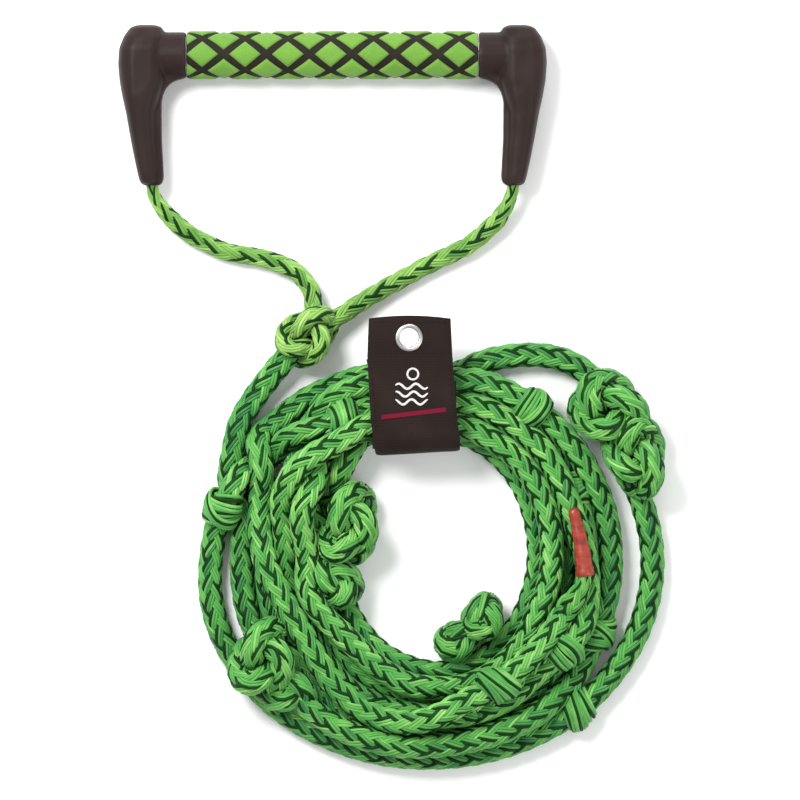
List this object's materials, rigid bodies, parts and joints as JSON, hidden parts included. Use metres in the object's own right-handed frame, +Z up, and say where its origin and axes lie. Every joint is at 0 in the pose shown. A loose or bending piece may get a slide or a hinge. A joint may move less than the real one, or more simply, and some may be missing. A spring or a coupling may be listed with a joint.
{
  "type": "tow rope handle",
  "caption": "Bar handle with moulded finger guards on a rope bridle, lying with its braided tow rope coiled and held by a hook-and-loop keeper strap.",
  "frame": {"origin": "middle of the handle's footprint, on the surface that it lies on", "axes": "+X along the bar, +Y from the rope towards the bar, +Z up from the surface"},
  "size_m": [0.3269, 0.442, 0.0458],
  "materials": {
    "bar_aluminium": "drawn tube",
    "grip_dark_foam": "closed-cell foam",
    "grip_green_foam": "closed-cell foam with cut diamonds",
    "guard_moulding": "satin moulding",
    "rope_braid": "braided green rope with dark flecks",
    "sleeve_red": "shrunk sleeve",
    "keeper_webbing": "woven webbing",
    "hook_and_loop": "hook-and-loop tape",
    "grommet_metal": "plated, lightly brushed"
  },
  "bodies": {
    "rope": {"bridle_leg_left": "rope_braid", "bridle_leg_right": "rope_braid", "yoke_knot": "rope_braid", "lead_rope": "rope_braid", "tail_strand": "rope_braid", "rope_coil": "rope_braid", "joint_knot_upper_right": "rope_braid", "joint_knot_inner_left": "rope_braid", "joint_knot_inner_low": "rope_braid", "joint_knot_lower_left": "rope_braid", "wrap_knot_1": "rope_braid", "wrap_knot_2": "rope_braid", "wrap_knot_3": "rope_braid", "wrap_knot_4": "rope_braid", "wrap_knot_5": "rope_braid", "wrap_knot_6": "rope_braid", "wrap_knot_7": "rope_braid", "wrap_knot_8": "rope_braid", "rope_end_sleeve": "sleeve_red", "keeper_back_strap": "keeper_webbing", "keeper_front_tab": "keeper_webbing", "keeper_loop_patch": "hook_and_loop", "grommet_eyelet": "grommet_metal", "grommet_washer": "grommet_metal"},
    "handle": {"bar_tube": "bar_aluminium", "grip_foam_core": "grip_dark_foam", "grip_foam_skin": "grip_green_foam", "finger_guard_right": "guard_moulding", "finger_guard_left": "guard_moulding", "bridle_in_handle": "rope_braid"},
    "keeper_flap": {"keeper_front_flap": "keeper_webbing", "keeper_hook_patch": "hook_and_loop"}
  },
  "joints": [
    {"name": "handle_lift", "type": "hinge", "parent": "rope", "child": "handle", "pos_m": [0, -0.0477, 0.015], "axis": [1, 0, 0], "range_deg": [0, 90], "deforming": ["bridle_leg_left", "bridle_leg_right"]},
    {"name": "keeper_flap_open", "type": "hinge", "parent": "rope", "child": "keeper_flap", "pos_m": [0.04825, -0.1492, 0.0447], "axis": [-1, 0, 0], "range_deg": [0, 150]}
  ]
}
